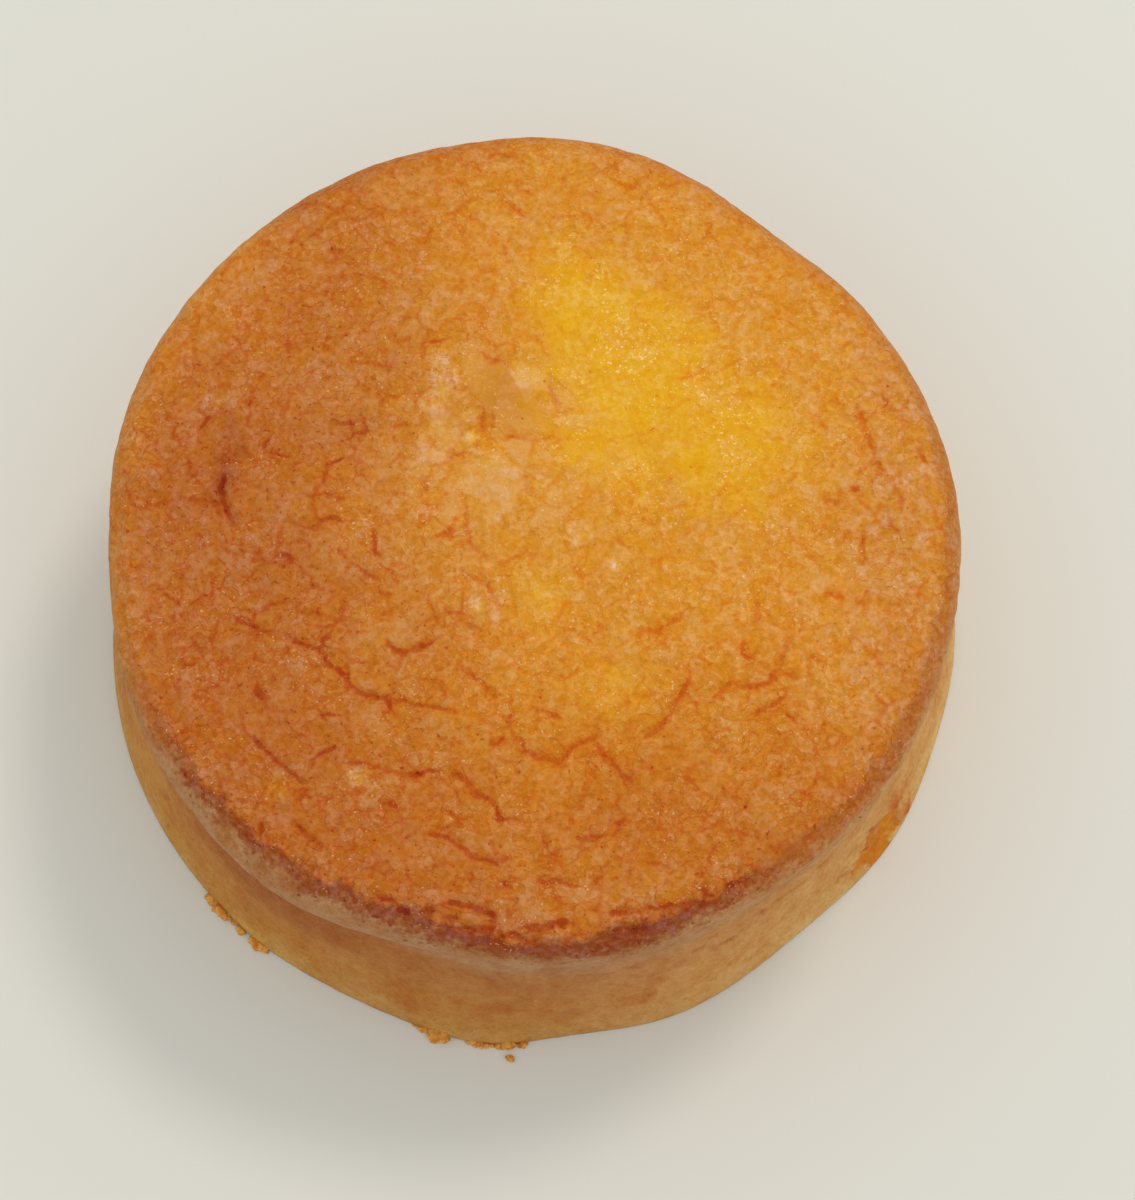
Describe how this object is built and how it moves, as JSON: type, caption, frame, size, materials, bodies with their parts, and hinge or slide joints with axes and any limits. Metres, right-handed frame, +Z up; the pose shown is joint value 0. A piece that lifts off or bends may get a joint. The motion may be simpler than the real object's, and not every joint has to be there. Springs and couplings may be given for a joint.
{
  "type": "sponge cake",
  "caption": "Uncut round genoise sponge cake with a browned, crackled top, a moist yellow patch and a pale side that flares to the flat base it stands on.",
  "frame": {"origin": "middle of the flat base", "axes": "+Z up through the cake, -Y towards the side nearest the camera in the picture"},
  "size_m": [0.1504, 0.1508, 0.061],
  "materials": {
    "crust": "baked sponge crust, golden brown and matt, with fine cracks"
  },
  "bodies": {
    "root": {"sponge_cake": "crust"}
  },
  "joints": []
}
